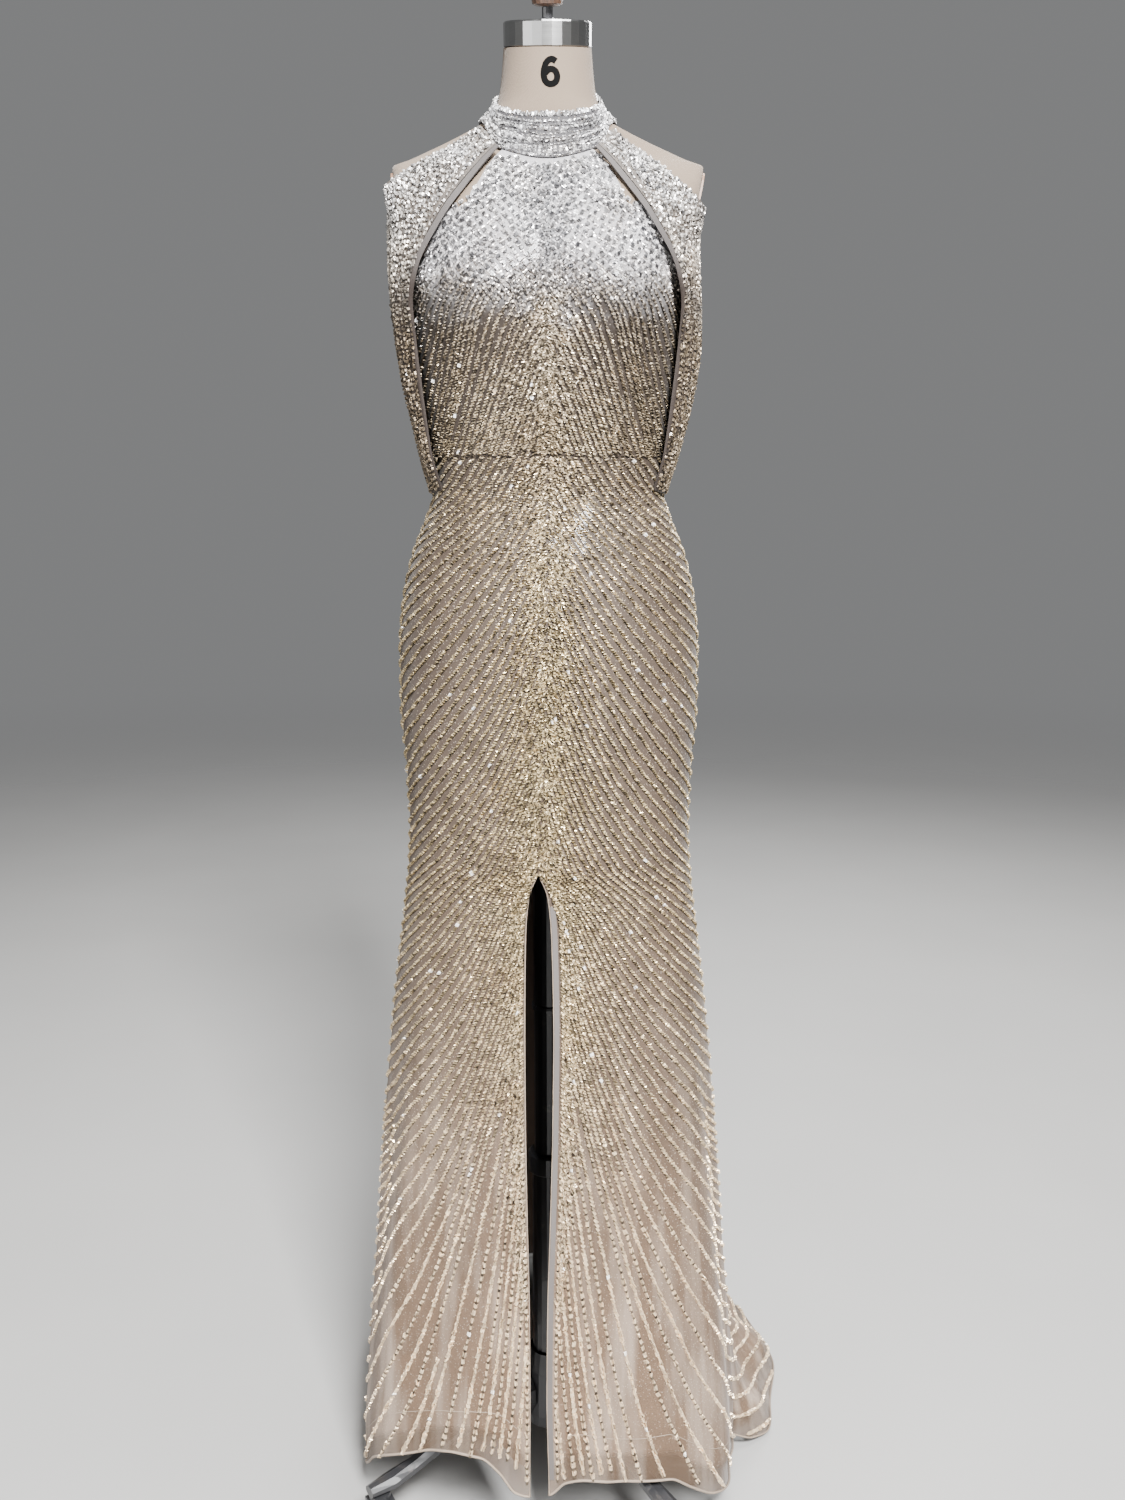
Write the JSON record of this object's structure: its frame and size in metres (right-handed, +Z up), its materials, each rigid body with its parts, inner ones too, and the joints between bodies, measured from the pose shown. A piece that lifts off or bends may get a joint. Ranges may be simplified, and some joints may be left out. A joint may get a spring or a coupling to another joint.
{
  "type": "beaded evening gown on a limbless dress form with a rolling stand",
  "caption": "Beaded halter evening gown with a front slit, side drapes and a slight sweep, on a limbless dress form and its castered stand.",
  "frame": {"origin": "centre of the bounding box's base, on the floor", "axes": "+Z up, -Y is the front of the gown, +X is to the right of someone who looks at the front"},
  "size_m": [0.5454, 0.6594, 1.6621],
  "materials": {
    "cool_beads": "silver beading on tulle",
    "warm_beads": "champagne beading on tulle",
    "tulle": "plain net",
    "binding": "plain bias strip",
    "canvas": "cream canvas, tightly covered",
    "steel": "brushed",
    "wood": "turned, satin",
    "plate": "stained, satin",
    "iron": "black enamel",
    "tyre": "brown, worn"
  },
  "bodies": {
    "dressed_form": {"form_torso": "canvas", "arm_plate_left": "plate", "arm_plate_right": "plate", "neck_cap": "steel", "cap_stem": "iron", "cap_knob": "wood", "column_lower": "iron", "column_upper": "iron", "column_top": "iron", "height_clamp": "iron", "stop_ring": "iron", "base_hub": "iron", "leg_1": "iron", "leg_2": "iron", "leg_3": "iron", "leg_4": "iron", "collar": "cool_beads", "bodice_front": "cool_beads", "bodice_back_left": "cool_beads", "bodice_back_right": "cool_beads", "skirt_front": "warm_beads", "skirt_back_left": "warm_beads", "skirt_back_right": "warm_beads", "lining_front": "tulle", "lining_back": "tulle", "drape_left": "cool_beads", "drape_right": "cool_beads", "binding_front_left": "binding", "binding_front_right": "binding", "binding_back_left": "binding", "binding_back_right": "binding"},
    "caster_1": {"fork_1": "iron"},
    "roller_1": {"wheel_1": "tyre"},
    "caster_2": {"fork_2": "iron"},
    "roller_2": {"wheel_2": "tyre"},
    "caster_3": {"fork_3": "iron"},
    "roller_3": {"wheel_3": "tyre"},
    "caster_4": {"fork_4": "iron"},
    "roller_4": {"wheel_4": "tyre"}
  },
  "joints": [
    {"name": "swivel_1", "type": "hinge", "parent": "dressed_form", "child": "caster_1", "pos_m": [-0.21328, -0.26221, 0.06], "axis": [0, 0, 1], "continuous": true},
    {"name": "roll_1", "type": "hinge", "parent": "caster_1", "child": "roller_1", "pos_m": [-0.20528, -0.27606, 0.025], "axis": [0.866, 0.5, 0], "continuous": true},
    {"name": "swivel_2", "type": "hinge", "parent": "dressed_form", "child": "caster_2", "pos_m": [0.11582, -0.30846, 0.06], "axis": [0, 0, 1], "continuous": true},
    {"name": "roll_2", "type": "hinge", "parent": "caster_2", "child": "roller_2", "pos_m": [0.10079, -0.31393, 0.025], "axis": [0.342, -0.9397, 0], "continuous": true},
    {"name": "swivel_3", "type": "hinge", "parent": "dressed_form", "child": "caster_3", "pos_m": [0.16208, 0.02065, 0.06], "axis": [0, 0, 1], "continuous": true},
    {"name": "roll_3", "type": "hinge", "parent": "caster_3", "child": "roller_3", "pos_m": [0.16622, 0.0361, 0.025], "axis": [-0.9659, 0.2588, 0], "continuous": true},
    {"name": "swivel_4", "type": "hinge", "parent": "dressed_form", "child": "caster_4", "pos_m": [-0.16703, 0.0669, 0.06], "axis": [0, 0, 1], "continuous": true},
    {"name": "roll_4", "type": "hinge", "parent": "caster_4", "child": "roller_4", "pos_m": [-0.17928, 0.07719, 0.025], "axis": [-0.6428, -0.766, 0], "continuous": true}
  ]
}
